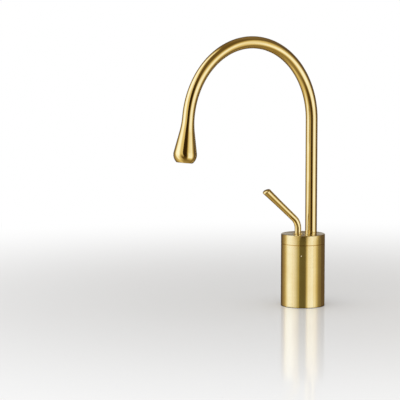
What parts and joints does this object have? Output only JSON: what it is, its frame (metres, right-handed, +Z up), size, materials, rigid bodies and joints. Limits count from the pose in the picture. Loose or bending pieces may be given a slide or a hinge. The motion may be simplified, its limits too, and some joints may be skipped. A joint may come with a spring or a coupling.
{
  "type": "basin mixer tap",
  "caption": "Tall deck-mounted basin mixer: round body, curved joystick lever, and a swivelling arched spout ending in a drop-shaped nozzle.",
  "frame": {"origin": "centre of the round base where its underside meets the deck", "axes": "+Z up along the body, -Y towards the basin and the user (the spout points there at rest), +X to the user's right"},
  "size_m": [0.052, 0.2148, 0.3696],
  "materials": {
    "brushed_gold": "brushed gold coating over brass",
    "raw_brass": "machined",
    "stainless_steel": "turned",
    "black_rubber": "moulded",
    "disc_ceramic": "lapped",
    "white_plastic": "moulded",
    "grey_plastic": "moulded",
    "pale_enamel": "polished"
  },
  "bodies": {
    "root": {"main_body": "brushed_gold", "top_cap": "brushed_gold", "cap_oring": "black_rubber", "retaining_nut": "raw_brass", "cartridge_housing": "white_plastic", "housing_oring": "black_rubber", "cartridge_base": "white_plastic", "cartridge_base_seals": "black_rubber", "fixed_ceramic_disc": "disc_ceramic", "spout_slip_ring": "white_plastic", "spout_grub_screw": "stainless_steel", "deck_gasket": "black_rubber", "threaded_shank": "raw_brass", "hot_mark": "pale_enamel", "cold_mark": "pale_enamel"},
    "spout": {"spout_tube": "brushed_gold", "drop_nozzle": "brushed_gold", "aerator_housing": "brushed_gold", "aerator_insert": "grey_plastic", "aerator_seal": "black_rubber", "spout_nipple": "raw_brass", "spout_orings": "black_rubber"},
    "rotor": {"cartridge_rotor": "grey_plastic", "pivot_pin": "stainless_steel"},
    "lever": {"cartridge_spindle": "stainless_steel", "lever_dome": "brushed_gold", "lever_rod": "brushed_gold"},
    "disc": {"disc_carrier": "grey_plastic", "moving_ceramic_disc": "disc_ceramic"},
    "clamp": {"rubber_washer": "black_rubber", "steel_washer": "stainless_steel", "back_nut": "raw_brass"}
  },
  "joints": [
    {"name": "spout_swivel", "type": "hinge", "parent": "root", "child": "spout", "pos_m": [0, 0.0125, 0.08], "axis": [0, 0, 1], "continuous": true},
    {"name": "temperature_turn", "type": "hinge", "parent": "root", "child": "rotor", "pos_m": [0, -0.008, 0.0797], "axis": [0, 0, 1], "range_deg": [-45, 45]},
    {"name": "flow_tilt", "type": "hinge", "parent": "rotor", "child": "lever", "pos_m": [0, -0.008, 0.0797], "axis": [1, 0, 0], "range_deg": [0, 18]},
    {"name": "disc_slide", "type": "slide", "parent": "rotor", "child": "disc", "axis": [0, 1, 0], "range_m": [0, 0.0039]},
    {"name": "clamp_slide", "type": "slide", "parent": "root", "child": "clamp", "axis": [0, 0, -1], "range_m": [-0.0135, 0.052]}
  ],
  "couplings": [
    {"joint": "disc_slide", "follows": "flow_tilt", "m_per_rad": 0.012394}
  ]
}
